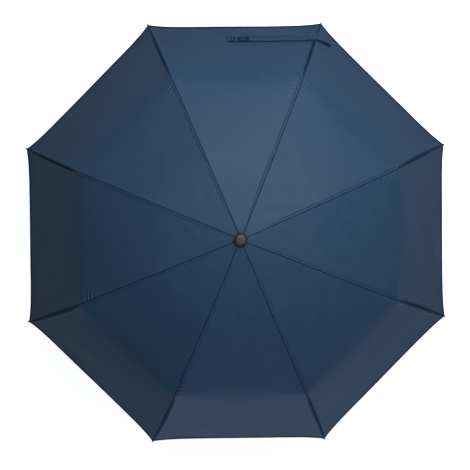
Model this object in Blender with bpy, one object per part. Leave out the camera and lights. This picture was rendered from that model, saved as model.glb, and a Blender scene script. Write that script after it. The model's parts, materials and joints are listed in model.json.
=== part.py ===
"""A three-fold pocket umbrella, open.

Metres, +Z up along the shaft, origin on the shaft's axis at the middle of the hand grip.
Eight identical rib assemblies hang from the crown at the shaft's top, and the runner
below it opens and folds them. Each assembly is a top rib, a stretcher, a middle rib and
an outer rib with its tip. Every hinged piece has its origin on its own hinge axis, its
local X along its length and its local Y along the hinge axis.
"""

import math

import bmesh
import bpy
from mathutils import Matrix, Vector

# The frame, seen in the upright plane of one rib.
RIB_COUNT = 8
RIB_PITCH = 2 * math.pi / RIB_COUNT
FIRST_RIB = RIB_PITCH / 2
HUB_RADIUS = 0.0115
TOP_LENGTH, TOP_DROOP = 0.178, math.radians(10)
MIDDLE_LENGTH, MIDDLE_DROOP = 0.185, math.radians(19)
OUTER_LENGTH, OUTER_DROOP = 0.175, math.radians(46)
# How far the hinge axes lie off the ribs' centre lines, so that the ribs fold flat.
INNER_KNEE_RISE = 0.003
OUTER_KNEE_DROP = 0.0022
# The stretcher's pivot on the top rib.
PIVOT_ALONG, PIVOT_DROP = 0.0875, 0.0008

# The shaft and what slides on it.
TUBE_TRAVEL = 0.148
SHUT_HUB_HEIGHT = 0.192
GRIP_HEIGHT = 0.062
GRIP_TOP = GRIP_HEIGHT / 2
CROWN_Z = GRIP_TOP + SHUT_HUB_HEIGHT + 2 * TUBE_TRAVEL
UPPER_TUBE_RADIUS, UPPER_TUBE_BORE = 0.0065, 0.0059
MIDDLE_TUBE_RADIUS, MIDDLE_TUBE_BORE = 0.0050, 0.0044
LOWER_TUBE_RADIUS, LOWER_TUBE_BORE = 0.0035, 0.0028
MIDDLE_TUBE_LENGTH = 0.182
LOWER_TUBE_REACH = 0.169
LOWER_TUBE_DEPTH = 0.045
GAP = 0.0003

# The ribs' cross-sections. Channels are open below.
TOP_CHANNEL = dict(width=0.0042, height=0.0038, wall=0.0007)
MIDDLE_CHANNEL = dict(width=0.0038, height=0.0032, wall=0.0006)
ROD_START_RADIUS, ROD_END_RADIUS = 0.0013, 0.0010
WIRE_RADIUS = 0.0005
WIRE_EYE = 0.0008
PIN_RADIUS = 0.0005
PIN_EYE = 0.0007
RIVET_END = 0.0004
HUB_EYE = 0.0016
INNER_KNEE_EYE = 0.0017
OUTER_KNEE_EYE = 0.0015
STRETCHER_EYE = 0.0013
STRETCHER_WIDTH = 0.0022
TONGUE_WIDTH = 0.0018
ROOT_WIDTH = 0.0020

# Crown and runner, measured from their hinge plane.
FLANGE_RADIUS = 0.014
FLANGE_HALF = 0.0032
NECK_RADIUS = 0.0083
SLOT_FLOOR = 0.0093
SLOT_WIDTH = 0.0028
GROOVE_FLOOR, GROOVE_HALF = 0.0107, 0.0008
CROWN_BORE = 0.00675
RUNNER_BORE = 0.00685
RUNNER_TOP, RUNNER_FOOT = 0.005, -0.0165
CAP_RADIUS, CAP_FOOT = 0.0134, 0.0080

# The release button, its window in the runner's boss and the boss around it.
BUTTON_DROP = 0.0100
BUTTON_HALF_WIDTH, BUTTON_HALF_HEIGHT = 0.0016, 0.0037
BUTTON_PLAY = 0.0004
BOSS_SIDE, BOSS_END = 0.0010, 0.0014
BOSS_BACK, BOSS_FACE = 0.0076, 0.0095
LEAF_HALF_WIDTH, LEAF_THICKNESS = 0.0011, 0.0003

# The hand grip.
GRIP_NECK, GRIP_WAIST, GRIP_SWELL = 0.0125, 0.0146, 0.0014
COLLAR_RADIUS, END_CAP_RADIUS = 0.0130, 0.0138

# The cloth.
CLOTH = 0.0005
CLOTH_HOLE = 0.003
CLOTH_CROWN_Z = 0.0069
KNEE_CLEARANCE = 0.0009
HEM_SCALLOP = 0.03
ACROSS = 6

FINE, PLAIN, COARSE = 32, 24, 8


# ---------------------------------------------------------------- materials


def material(name, colour, roughness, metallic=0.0):
    made = bpy.data.materials.new(name)
    made.use_nodes = True
    shader = made.node_tree.nodes["Principled BSDF"]
    shader.inputs["Base Color"].default_value = (*colour, 1)
    shader.inputs["Roughness"].default_value = roughness
    shader.inputs["Metallic"].default_value = metallic
    return made


# ---------------------------------------------------------------- meshes


def mesh_of(shape, name="shape"):
    bmesh.ops.recalc_face_normals(shape, faces=shape.faces)
    mesh = bpy.data.meshes.new(name)
    shape.to_mesh(mesh)
    shape.free()
    return mesh


def turned(profile, segments, close=True):
    """The solid that a profile of (radius, height) points makes when it turns about Z."""
    shape = bmesh.new()
    points = [shape.verts.new((radius, 0, height)) for radius, height in profile]
    edges = [shape.edges.new(pair) for pair in zip(points, points[1:])]
    if close:
        edges.append(shape.edges.new((points[-1], points[0])))
    bmesh.ops.spin(
        shape, geom=points + edges, cent=(0, 0, 0), axis=(0, 0, 1), angle=2 * math.pi,
        steps=segments, use_merge=True,
    )
    bmesh.ops.remove_doubles(shape, verts=shape.verts, dist=1e-6)
    return mesh_of(shape)


def ring(inner, outer, low, high, segments=PLAIN):
    return turned([(inner, low), (outer, low), (outer, high), (inner, high)], segments)


def cylinder(radius, start, end, segments=COARSE, end_radius=None):
    """A cylinder or a cone between two points."""
    start, end = Vector(start), Vector(end)
    shape = bmesh.new()
    turn = (end - start).to_track_quat("Z", "Y").to_matrix().to_4x4()
    bmesh.ops.create_cone(
        shape, cap_ends=True, segments=segments, radius1=radius,
        radius2=radius if end_radius is None else end_radius, depth=(end - start).length,
        matrix=Matrix.Translation((start + end) / 2) @ turn,
    )
    return mesh_of(shape)


def block(low, high):
    low, high = Vector(low), Vector(high)
    shape = bmesh.new()
    bmesh.ops.create_cube(shape, size=1)
    bmesh.ops.scale(shape, vec=high - low, verts=shape.verts)
    bmesh.ops.translate(shape, vec=(low + high) / 2, verts=shape.verts)
    return mesh_of(shape)


def prism(outline, depth):
    """The solid between a closed outline of points and its copy moved by depth."""
    shape = bmesh.new()
    face = shape.faces.new([shape.verts.new(point) for point in outline])
    grown = bmesh.ops.extrude_face_region(shape, geom=[face])["geom"]
    moved = [item for item in grown if isinstance(item, bmesh.types.BMVert)]
    bmesh.ops.translate(shape, vec=depth, verts=moved)
    return mesh_of(shape)


def arc(centre, radius, start, end, steps):
    """Points (along, up) on an arc. Angles in degrees, from the along axis towards up."""
    for step in range(steps + 1):
        angle = math.radians(start + (end - start) * step / steps)
        yield (centre[0] + radius * math.cos(angle), centre[1] + radius * math.sin(angle))


def lug(points, low, high):
    """A flat plate between two values of Y whose outline wraps (along, up) points."""
    shape = bmesh.new()
    for along, up in points:
        shape.verts.new((along, low, up))
        shape.verts.new((along, high, up))
    hull = bmesh.ops.convex_hull(shape, input=shape.verts)
    inside = {item for key in ("geom_interior", "geom_unused") for item in hull[key]}
    bmesh.ops.delete(
        shape, geom=[item for item in inside if isinstance(item, bmesh.types.BMVert)],
        context="VERTS",
    )
    bmesh.ops.dissolve_limit(
        shape, angle_limit=math.radians(0.5), verts=shape.verts, edges=shape.edges
    )
    return mesh_of(shape)


def eye(along, up, radius):
    """The round end of a lug."""
    return list(arc((along, up), radius, 22.5, 337.5, 7))


def channel(start, end, up, width, height, wall):
    """A length of channel along X, open below."""
    half, inner = width / 2, width / 2 - wall
    top, bottom, web = up + height / 2, up - height / 2, up + height / 2 - wall
    outline = [
        (start, half, bottom), (start, half, top), (start, -half, top),
        (start, -half, bottom), (start, -inner, bottom), (start, -inner, web),
        (start, inner, web), (start, inner, bottom),
    ]
    return prism(outline, (end - start, 0, 0))


def rivet(along, up, half_width):
    """A pin along Y that stands a little proud of both walls."""
    end = half_width + RIVET_END
    return cylinder(PIN_RADIUS, (along, -end, up), (along, end, up))


def eye_hole(along, up, radius):
    return cylinder(radius, (along, -0.01, up), (along, 0.01, up))


def combined(base, tools, operation):
    """The base mesh with each tool mesh joined to it (UNION) or cut from it (DIFFERENCE)."""
    objects = [bpy.data.objects.new("shape", mesh) for mesh in [base, *tools]]
    for item in objects:
        bpy.context.scene.collection.objects.link(item)
    for tool in objects[1:]:
        modifier = objects[0].modifiers.new("Boolean", "BOOLEAN")
        modifier.operation = operation
        modifier.object = tool
    graph = bpy.context.evaluated_depsgraph_get()
    result = bpy.data.meshes.new_from_object(objects[0].evaluated_get(graph))
    for item in objects:
        bpy.data.objects.remove(item)
    return result


def joined(base, *tools):
    return combined(base, tools, "UNION")


def cut(base, *tools):
    return combined(base, tools, "DIFFERENCE")


def place(name, mesh, look, matrix=None):
    """An object of its own for one piece. Copies share the mesh."""
    if look.name not in mesh.materials:
        mesh.materials.clear()
        mesh.materials.append(look)
    mesh.shade_smooth()
    mesh.set_sharp_from_angle(angle=math.radians(35))
    made = bpy.data.objects.new(name, mesh)
    made.matrix_world = matrix or Matrix()
    bpy.context.scene.collection.objects.link(made)
    return made


def height(z):
    return Matrix.Translation((0, 0, z))


# ---------------------------------------------------------------- the rib plane


def along_and_up(droop, along, up):
    """A rib's own (along, up) offset as (outward, height) in the rib plane."""
    return Vector((
        along * math.cos(droop) + up * math.sin(droop),
        up * math.cos(droop) - along * math.sin(droop),
    ))


HUB = Vector((HUB_RADIUS, CROWN_Z))
INNER_KNEE = HUB + along_and_up(TOP_DROOP, TOP_LENGTH, INNER_KNEE_RISE)
OUTER_KNEE = INNER_KNEE + along_and_up(
    MIDDLE_DROOP, MIDDLE_LENGTH, -INNER_KNEE_RISE - OUTER_KNEE_DROP
)
PIVOT = HUB + along_and_up(TOP_DROOP, PIVOT_ALONG, -PIVOT_DROP)
# The stretcher is as long as the pivot is far from the hub, so the runner's hinges stay
# straight below the crown's.
STRETCHER_LENGTH = (PIVOT - HUB).length
RUNNER_Z = 2 * PIVOT.y - CROWN_Z
STRETCHER_DROOP = math.pi - math.atan2(PIVOT.y - RUNNER_Z, PIVOT.x - HUB_RADIUS)


def at_rib(number, point, droop):
    """The matrix of a piece whose hinge is at point in the plane of one rib."""
    azimuth = FIRST_RIB + number * RIB_PITCH
    return (
        Matrix.Rotation(azimuth, 4, "Z")
        @ Matrix.Translation((point.x, 0, point.y))
        @ Matrix.Rotation(droop, 4, "Y")
    )


# ---------------------------------------------------------------- rib pieces


def top_rib_mesh():
    half = TOP_CHANNEL["width"] / 2
    inner = half - TOP_CHANNEL["wall"]
    base = channel(0.0055, TOP_LENGTH - 0.003, 0, **TOP_CHANNEL)
    root = lug(
        eye(0, 0, HUB_EYE) + [(0.010, 0.0015), (0.010, -0.0015)],
        -ROOT_WIDTH / 2, ROOT_WIDTH / 2,
    )
    ear = eye(TOP_LENGTH, INNER_KNEE_RISE, INNER_KNEE_EYE) + [
        (TOP_LENGTH - 0.009, 0.0015), (TOP_LENGTH - 0.009, -0.0015),
        (TOP_LENGTH - 0.0035, -0.0017),
    ]
    ears = [
        lug(ear, inner - 0.00005, half + 0.00005),
        lug(ear, -half - 0.00005, -inner + 0.00005),
    ]
    rivets = [
        rivet(TOP_LENGTH, INNER_KNEE_RISE, half),
        rivet(PIVOT_ALONG, -PIVOT_DROP, half),
    ]
    return cut(joined(base, root, *ears, *rivets), eye_hole(0, 0, WIRE_EYE))


def stretcher_mesh():
    """A flat bar from the top rib's pivot to the runner's slot, where its eye stays free."""
    bar = lug(
        eye(0, 0, STRETCHER_EYE) + eye(STRETCHER_LENGTH, 0, STRETCHER_EYE),
        -STRETCHER_WIDTH / 2, STRETCHER_WIDTH / 2,
    )
    return cut(bar, eye_hole(0, 0, PIN_EYE), eye_hole(STRETCHER_LENGTH, 0, WIRE_EYE))


def middle_rib_mesh():
    half = MIDDLE_CHANNEL["width"] / 2
    inner = half - MIDDLE_CHANNEL["wall"]
    centre = -INNER_KNEE_RISE
    knee = centre - OUTER_KNEE_DROP
    base = channel(0.0034, MIDDLE_LENGTH - 0.003, centre, **MIDDLE_CHANNEL)
    tongue = lug(
        eye(0, 0, INNER_KNEE_EYE)
        + [(0.009, centre + 0.0013), (0.009, centre - 0.0013), (0.0045, centre - 0.0013)],
        -TONGUE_WIDTH / 2, TONGUE_WIDTH / 2,
    )
    ear = eye(MIDDLE_LENGTH, knee, OUTER_KNEE_EYE) + [
        (MIDDLE_LENGTH - 0.009, centre + 0.0013), (MIDDLE_LENGTH - 0.009, centre - 0.0013),
        (MIDDLE_LENGTH - 0.0035, centre + 0.0013),
    ]
    ears = [
        lug(ear, inner - 0.00005, half + 0.00005),
        lug(ear, -half - 0.00005, -inner + 0.00005),
    ]
    pin = rivet(MIDDLE_LENGTH, knee, half)
    return cut(joined(base, tongue, *ears, pin), eye_hole(0, 0, PIN_EYE))


def outer_rib_mesh():
    centre = OUTER_KNEE_DROP
    rod = cylinder(
        ROD_START_RADIUS, (0.006, 0, centre), (OUTER_LENGTH - 0.002, 0, centre), 10,
        ROD_END_RADIUS,
    )
    tongue = lug(
        eye(0, 0, OUTER_KNEE_EYE)
        + [(0.010, centre + 0.0009), (0.010, centre - 0.0009), (0.0035, centre + 0.0009)],
        -TONGUE_WIDTH / 2, TONGUE_WIDTH / 2,
    )
    return cut(joined(rod, tongue), eye_hole(0, 0, PIN_EYE))


def rib_tip_mesh():
    """A socket over the end of the outer rib, with a round nose. Its axis is the rod's."""
    low, bore_end, nose = OUTER_LENGTH - 0.010, OUTER_LENGTH - 0.0015, OUTER_LENGTH + 0.0035
    profile = [(0, bore_end), (0.00135, bore_end), (0.00135, low), (0.0019, low)]
    profile += [(0.0019, low + 0.002), (0.0015, nose - 0.004)]
    profile += [(x, nose + y) for x, y in arc((0, -0.0019), 0.0019, -40, 60, 2)]
    profile += [(0, nose)]
    mesh = turned(profile, COARSE, close=False)
    mesh.transform(height(OUTER_KNEE_DROP) @ Matrix.Rotation(math.pi / 2, 4, "Y"))
    return mesh


def make_ribs(steel, dark_steel, tip_plastic):
    pieces = [
        ("top_rib", top_rib_mesh(), steel, HUB, TOP_DROOP),
        ("stretcher", stretcher_mesh(), steel, PIVOT, STRETCHER_DROOP),
        ("middle_rib", middle_rib_mesh(), steel, INNER_KNEE, MIDDLE_DROOP),
        ("outer_rib", outer_rib_mesh(), dark_steel, OUTER_KNEE, OUTER_DROOP),
        ("rib_tip", rib_tip_mesh(), tip_plastic, OUTER_KNEE, OUTER_DROOP),
    ]
    for name, mesh, look, point, droop in pieces:
        for number in range(RIB_COUNT):
            place(f"{name}_{number + 1}", mesh, look, at_rib(number, point, droop))


# ---------------------------------------------------------------- crown and runner


def slots(low, high):
    """Cutters for the eight slots in a flange."""
    tools = []
    for number in range(RIB_COUNT):
        tool = block(
            (SLOT_FLOOR, -SLOT_WIDTH / 2, low), (FLANGE_RADIUS + 0.003, SLOT_WIDTH / 2, high)
        )
        tool.transform(Matrix.Rotation(FIRST_RIB + number * RIB_PITCH, 4, "Z"))
        tools.append(tool)
    return tools


def grooved_rim():
    """The rim of a flange from its lower to its upper edge, with the wire's groove."""
    return [
        (FLANGE_RADIUS, -FLANGE_HALF), (FLANGE_RADIUS, -GROOVE_HALF),
        (GROOVE_FLOOR, -GROOVE_HALF), (GROOVE_FLOOR, GROOVE_HALF),
        (FLANGE_RADIUS, GROOVE_HALF), (FLANGE_RADIUS, FLANGE_HALF),
    ]


def wire_mesh():
    profile = [
        (HUB_RADIUS + along, up) for along, up in arc((0, 0), WIRE_RADIUS, 0, 300, 5)
    ]
    return turned(profile, PLAIN)


def crown_mesh():
    dome = [(0.0125, 0.0050), (0.0095, 0.0060), (0.0023, 0.0062)]
    profile = [(CROWN_BORE, -0.009), (NECK_RADIUS, -0.009), (NECK_RADIUS, -FLANGE_HALF)]
    profile += grooved_rim() + dome + [(0.0023, FLANGE_HALF), (CROWN_BORE, FLANGE_HALF)]
    return cut(turned(profile, FINE), *slots(-FLANGE_HALF - 0.001, 0.0024))


def runner_mesh():
    profile = [(RUNNER_BORE, RUNNER_FOOT), (NECK_RADIUS, RUNNER_FOOT)]
    profile += [(NECK_RADIUS, -FLANGE_HALF)] + grooved_rim()
    profile += [(NECK_RADIUS, FLANGE_HALF), (NECK_RADIUS, RUNNER_TOP), (RUNNER_BORE, RUNNER_TOP)]
    flange = cut(turned(profile, FINE), *slots(-FLANGE_HALF - 0.001, FLANGE_HALF + 0.001))
    side, end = BUTTON_HALF_WIDTH + GAP, BUTTON_HALF_HEIGHT + BUTTON_PLAY
    window = block((0.005, -side, -BUTTON_DROP - end), (0.012, side, -BUTTON_DROP + end))
    side, end = side + BOSS_SIDE, end + BOSS_END
    boss = block(
        (BOSS_BACK, -side, -BUTTON_DROP - end), (BOSS_FACE, side, -BUTTON_DROP + end)
    )
    return cut(joined(flange, boss), window)


def runner_button_mesh():
    """A small pad with a rounded face, in the window of the runner's boss."""
    back, shoulder = 0.0086, 0.0102
    foot, head = -BUTTON_DROP - BUTTON_HALF_HEIGHT, -BUTTON_DROP + BUTTON_HALF_HEIGHT
    outline = [(back, foot), (shoulder, foot)]
    outline += list(arc((0.0076, -BUTTON_DROP), 0.0042, -40, 40, 6))
    outline += [(shoulder, head), (back, head)]
    half = BUTTON_HALF_WIDTH
    return prism([(x, -half, z) for x, z in outline], (0, 2 * half, 0))


def button_spring_mesh():
    """A bowed steel leaf between the upper tube and the button."""
    centre, bow = (-0.0005, -BUTTON_DROP), 0.0088
    outer = list(arc(centre, bow, -20, 20, 8))
    inner = list(arc(centre, bow - LEAF_THICKNESS, 20, -20, 8))
    half = LEAF_HALF_WIDTH
    return prism([(x, -half, z) for x, z in outer + inner], (0, 2 * half, 0))


# ---------------------------------------------------------------- shaft and handle


def make_shaft(tube_steel, bush_plastic, spring_steel):
    upper_foot = GRIP_TOP + 2 * TUBE_TRAVEL + 0.0016
    middle_foot = GRIP_TOP + TUBE_TRAVEL + 0.0016
    middle_head = middle_foot + MIDDLE_TUBE_LENGTH
    lower_head = GRIP_TOP + LOWER_TUBE_REACH
    stud_drop = 0.004
    upper = ring(
        UPPER_TUBE_BORE, UPPER_TUBE_RADIUS, upper_foot, CROWN_Z + FLANGE_HALF - GAP, FINE
    )
    middle = ring(MIDDLE_TUBE_BORE, MIDDLE_TUBE_RADIUS, middle_foot, middle_head, FINE)
    lower = ring(
        LOWER_TUBE_BORE, LOWER_TUBE_RADIUS, GRIP_TOP - LOWER_TUBE_DEPTH, lower_head, FINE
    )
    middle_hole = cylinder(
        0.0013, (0.002, 0, middle_head - stud_drop), (0.008, 0, middle_head - stud_drop), 12
    )
    lower_hole = cylinder(
        0.0011, (0.001, 0, lower_head - stud_drop), (0.008, 0, lower_head - stud_drop), 12
    )
    place("upper_tube", upper, tube_steel)
    place("middle_tube", cut(middle, middle_hole), tube_steel)
    place("lower_tube", cut(lower, lower_hole), tube_steel)
    place(
        "upper_bush", bush_mesh(UPPER_TUBE_RADIUS, UPPER_TUBE_BORE, MIDDLE_TUBE_RADIUS),
        bush_plastic, height(upper_foot),
    )
    place(
        "lower_bush", bush_mesh(MIDDLE_TUBE_RADIUS, MIDDLE_TUBE_BORE, LOWER_TUBE_RADIUS),
        bush_plastic, height(middle_foot),
    )
    place(
        "upper_catch", catch_mesh(MIDDLE_TUBE_BORE, MIDDLE_TUBE_RADIUS, 0.0010),
        spring_steel, height(middle_head - stud_drop),
    )
    place(
        "lower_catch", catch_mesh(LOWER_TUBE_BORE, LOWER_TUBE_RADIUS, 0.0008),
        spring_steel, height(lower_head - stud_drop),
    )


def bush_mesh(outer, tube_bore, inner_tube):
    """A guide bush in the foot of a tube. Height 0 is the tube's end."""
    bore, sleeve = inner_tube + 0.00025, tube_bore - 0.00025
    profile = [
        (bore, -0.0013), (outer, -0.0013), (outer, -GAP), (sleeve, -GAP),
        (sleeve, 0.008), (bore, 0.008),
    ]
    return turned(profile, PLAIN)


def catch_mesh(bore, tube_radius, stud):
    """A bent spring leaf in the head of a tube, with a stud in the tube's side hole."""
    near, far, thick = bore - 0.0010, -(bore - 0.0012), LEAF_THICKNESS
    radius = (near - far) / 2
    middle, bend = (near + far) / 2, -0.0040
    outline = [(near, 0.0025)]
    outline += list(arc((middle, bend), radius, 0, -180, 8))
    outline += [(far, 0.0010), (far + thick, 0.0010)]
    outline += list(arc((middle, bend), radius - thick, -180, 0, 8))
    outline += [(near - thick, 0.0025)]
    leaf = prism([(x, -0.0008, z) for x, z in outline], (0, 0.0016, 0))
    return joined(leaf, cylinder(stud, (near - thick / 2, 0, 0), (tube_radius, 0, 0), 10))


def make_handle(rubber, plastic):
    foot = -GRIP_TOP
    bore = LOWER_TUBE_RADIUS + GAP
    grip = [(0, foot + 0.0033), (0.0135, foot + 0.0033)]
    grip += [
        (
            GRIP_WAIST + GRIP_SWELL * math.sin(math.pi * step / 6),
            foot + 0.0040 + 0.0083 * step,
        )
        for step in range(7)
    ]
    grip += [(GRIP_NECK, GRIP_TOP - 0.0043), (bore, GRIP_TOP - 0.0043)]
    grip += [(bore, GRIP_TOP - LOWER_TUBE_DEPTH - GAP), (0, GRIP_TOP - LOWER_TUBE_DEPTH - GAP)]
    collar = [
        (bore, GRIP_TOP - 0.0040), (COLLAR_RADIUS, GRIP_TOP - 0.0040),
        (COLLAR_RADIUS, GRIP_TOP - 0.0015), (0.0115, GRIP_TOP), (bore, GRIP_TOP),
    ]
    cap = [
        (0, foot), (0.0125, foot), (END_CAP_RADIUS, foot + 0.0010),
        (END_CAP_RADIUS, foot + 0.0030), (0, foot + 0.0030),
    ]
    place("handle_grip", turned(grip, FINE, close=False), rubber)
    place("handle_collar", turned(collar, FINE), plastic)
    place("handle_end_cap", turned(cap, FINE, close=False), plastic)


# ---------------------------------------------------------------- cap and cloth


def top_cap_mesh():
    """A low round cap with a recess on top and a stem that goes into the crown."""
    stem = 0.0020
    profile = [(0, 0.0045), (stem, 0.0045), (stem, CAP_FOOT), (CAP_RADIUS, CAP_FOOT)]
    profile += list(arc((0.0118, 0.0108), 0.0022, -20, 90, 4))
    profile += [(0.0109, 0.0126), (0.0109, 0.0113), (0, 0.0113)]
    return turned(profile, FINE, close=False)


def cap_inlay_mesh():
    profile = [(0, 0.0116), (0.0106, 0.0116), (0.0106, 0.0122), (0.0098, 0.0127)]
    profile += [(0.0050, 0.0132), (0, 0.0133)]
    return turned(profile, FINE, close=False)


def cloth_line():
    """The cloth over a rib: (outward, height) at the hole, the crown, both knees and the hem."""
    inner = along_and_up((TOP_DROOP + MIDDLE_DROOP) / 2, 0, INNER_KNEE_EYE + KNEE_CLEARANCE)
    outer = along_and_up(
        (MIDDLE_DROOP + OUTER_DROOP) / 2, 0,
        OUTER_KNEE_DROP + MIDDLE_CHANNEL["height"] / 2 + KNEE_CLEARANCE + 0.0005,
    )
    return [
        Vector((CLOTH_HOLE, CROWN_Z + CLOTH_CROWN_Z)),
        Vector((FLANGE_RADIUS, CROWN_Z + CLOTH_CROWN_Z)),
        INNER_KNEE + inner,
        OUTER_KNEE + outer,
        OUTER_KNEE + along_and_up(OUTER_DROOP, OUTER_LENGTH - 0.002, OUTER_KNEE_DROP + 0.0028),
    ]


CLOTH_LINE = cloth_line()


def on_rib(section, share):
    """The cloth line, share 0 to 1 along one of its four sections."""
    return CLOTH_LINE[section].lerp(CLOTH_LINE[section + 1], share)


def cloth_point(gore, section, share, across):
    """A point of the cloth. Across runs from -1 at a gore's first seam to 1 at its second."""
    edge = 1 - across * across
    if section == 3:
        share = share * (1 - HEM_SCALLOP * edge * share)
    line = on_rib(section, share)
    first = FIRST_RIB + gore * RIB_PITCH
    ends = [
        Vector((line.x * math.cos(angle), line.x * math.sin(angle), line.y))
        for angle in (first, first + RIB_PITCH)
    ]
    return ends[0].lerp(ends[1], (across + 1) / 2)


def canopy_mesh():
    """One sheet of eight gores, flat across each gore, with a hole for the cap's stem."""
    shape = bmesh.new()
    rings = []
    for section, steps in ((0, 1), (1, 3), (2, 3), (3, 4)):
        for step in range(steps):
            rings.append((section, step / steps))
    rings.append((3, 1.0))
    rows = [
        [
            shape.verts.new(cloth_point(gore, section, share, 2 * step / ACROSS - 1))
            for gore in range(RIB_COUNT)
            for step in range(ACROSS)
        ]
        for section, share in rings
    ]
    for inner, outer in zip(rows, rows[1:]):
        for index in range(len(inner)):
            after = (index + 1) % len(inner)
            shape.faces.new((inner[index], outer[index], outer[after], inner[after]))
    return mesh_of(shape)


def thicken(piece, thickness, offset):
    modifier = piece.modifiers.new("Solidify", "SOLIDIFY")
    modifier.thickness = thickness
    modifier.offset = offset


def strap_point(gore, share, across, lift):
    """A point above the outer panel of a gore, or above the seam where across is -1 or 1."""
    point = cloth_point(gore, 3, share, across)
    azimuth = FIRST_RIB + (gore + (across + 1) / 2) * RIB_PITCH
    if abs(across) < 1:
        azimuth = FIRST_RIB + (gore + 0.5) * RIB_PITCH
    fall = CLOTH_LINE[3] - CLOTH_LINE[4]
    run = -fall.x if abs(across) == 1 else -fall.x * math.cos(RIB_PITCH / 2)
    up = Vector((fall.y * math.cos(azimuth), fall.y * math.sin(azimuth), run))
    return point + lift * up.normalized()


def tie_strap_mesh():
    """A flat strap along the hem of one gore, across its seam and onto the next gore."""
    on_top = [(1, across) for across in (0.10, -0.2, -0.5, -0.75, -0.93, -1)]
    stations = on_top + [(0, across) for across in (0.93, 0.80)]
    near, far, lift = 0.74, 0.85, 0.0011
    shape = bmesh.new()
    rows = [
        [shape.verts.new(strap_point(gore, share, across, lift)) for share in (near, far)]
        for gore, across in stations
    ]
    for (a, b), (c, d) in zip(rows, rows[1:]):
        shape.faces.new((a, b, d, c))
    mesh = mesh_of(shape)
    if mesh.polygons[0].normal.z < 0:
        mesh.flip_normals()
    return mesh


# ---------------------------------------------------------------- the whole


def make_umbrella():
    for item in list(bpy.data.objects):
        bpy.data.objects.remove(item)
    navy = material("navy_cloth", (0.028, 0.062, 0.118), 0.62)
    black = material("black_plastic", (0.018, 0.020, 0.024), 0.45)
    soft_black = material("soft_black", (0.020, 0.020, 0.022), 0.70)
    taupe = material("taupe_inlay", (0.085, 0.075, 0.070), 0.40, 0.3)
    steel = material("plated_steel", (0.42, 0.43, 0.45), 0.35, 1.0)
    dark_steel = material("black_steel", (0.05, 0.05, 0.055), 0.40, 0.8)
    chrome = material("bright_tube", (0.60, 0.61, 0.63), 0.18, 1.0)

    make_ribs(steel, dark_steel, black)
    make_shaft(chrome, black, steel)
    make_handle(soft_black, black)
    place("crown", crown_mesh(), black, height(CROWN_Z))
    place("crown_wire", wire_mesh(), steel, height(CROWN_Z))
    place("runner", runner_mesh(), black, height(RUNNER_Z))
    place("runner_button", runner_button_mesh(), soft_black, height(RUNNER_Z))
    place("button_spring", button_spring_mesh(), steel, height(RUNNER_Z))
    place("top_cap", top_cap_mesh(), black, height(CROWN_Z))
    place("cap_inlay", cap_inlay_mesh(), taupe, height(CROWN_Z))
    thicken(place("canopy", canopy_mesh(), navy), CLOTH, 0)
    thicken(place("tie_strap", tie_strap_mesh(), navy), 0.0010, 1)


make_umbrella()
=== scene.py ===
"""The looks of the folding umbrella: its sewn canopy, strap, cap, grip and every material."""

import json
import math

import bmesh
import bpy
import numpy as np
from mathutils import Matrix, Vector

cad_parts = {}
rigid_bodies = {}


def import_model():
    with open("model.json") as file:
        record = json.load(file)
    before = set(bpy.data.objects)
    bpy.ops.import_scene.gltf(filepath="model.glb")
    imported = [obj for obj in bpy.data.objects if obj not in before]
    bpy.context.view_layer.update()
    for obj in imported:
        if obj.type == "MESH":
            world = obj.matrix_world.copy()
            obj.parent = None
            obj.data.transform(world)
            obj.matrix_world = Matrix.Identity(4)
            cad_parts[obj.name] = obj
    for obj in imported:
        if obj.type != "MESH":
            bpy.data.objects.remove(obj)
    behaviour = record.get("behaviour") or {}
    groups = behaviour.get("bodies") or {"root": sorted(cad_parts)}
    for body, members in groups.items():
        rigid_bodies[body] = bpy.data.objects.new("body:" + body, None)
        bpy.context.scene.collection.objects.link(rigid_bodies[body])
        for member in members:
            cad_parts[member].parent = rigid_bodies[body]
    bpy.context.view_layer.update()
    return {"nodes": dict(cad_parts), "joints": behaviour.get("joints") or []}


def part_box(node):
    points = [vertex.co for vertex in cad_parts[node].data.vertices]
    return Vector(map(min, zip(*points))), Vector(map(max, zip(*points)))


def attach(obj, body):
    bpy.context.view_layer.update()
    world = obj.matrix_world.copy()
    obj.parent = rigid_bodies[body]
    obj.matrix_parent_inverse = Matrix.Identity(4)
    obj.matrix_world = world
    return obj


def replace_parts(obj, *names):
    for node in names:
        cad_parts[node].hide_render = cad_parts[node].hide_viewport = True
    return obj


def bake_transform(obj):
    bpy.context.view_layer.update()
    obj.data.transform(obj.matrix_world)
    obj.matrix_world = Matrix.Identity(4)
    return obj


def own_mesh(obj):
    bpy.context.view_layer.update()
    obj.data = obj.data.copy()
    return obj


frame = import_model()

# ---------------------------------------------------------------- what the frame says

RIB_COUNT = 8
PITCH = 2 * math.pi / RIB_COUNT
JOINTS = {joint["name"]: joint for joint in frame["joints"]}


def in_rib_plane(hinge):
    """A hinge of rib 1 as (outward, height)."""
    x, y, z = JOINTS[hinge]["pos_m"]
    return np.array((math.hypot(x, y), z))


HUB = in_rib_plane("top_rib_hinge_1")
INNER_KNEE = in_rib_plane("middle_rib_hinge_1")
OUTER_KNEE = in_rib_plane("outer_rib_hinge_1")
FIRST_RIB = math.atan2(*JOINTS["top_rib_hinge_1"]["pos_m"][1::-1])
RIB_AZIMUTHS = FIRST_RIB + PITCH * np.arange(RIB_COUNT)
# How far the open ribs droop, and the outer rib's length beyond its hinge.
TOP_DROOP, MIDDLE_DROOP, OUTER_DROOP = np.radians((10, 19, 46))
OUTER_RIB_LENGTH = 0.175
SHAFT_BODY = JOINTS["top_rib_hinge_1"]["parent"]
# The groove for the stretchers' wire lies 5 mm below the runner's top.
GROOVE_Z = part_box("runner")[1].z - 0.005

# ---------------------------------------------------------------- the cloth's own sizes

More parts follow.
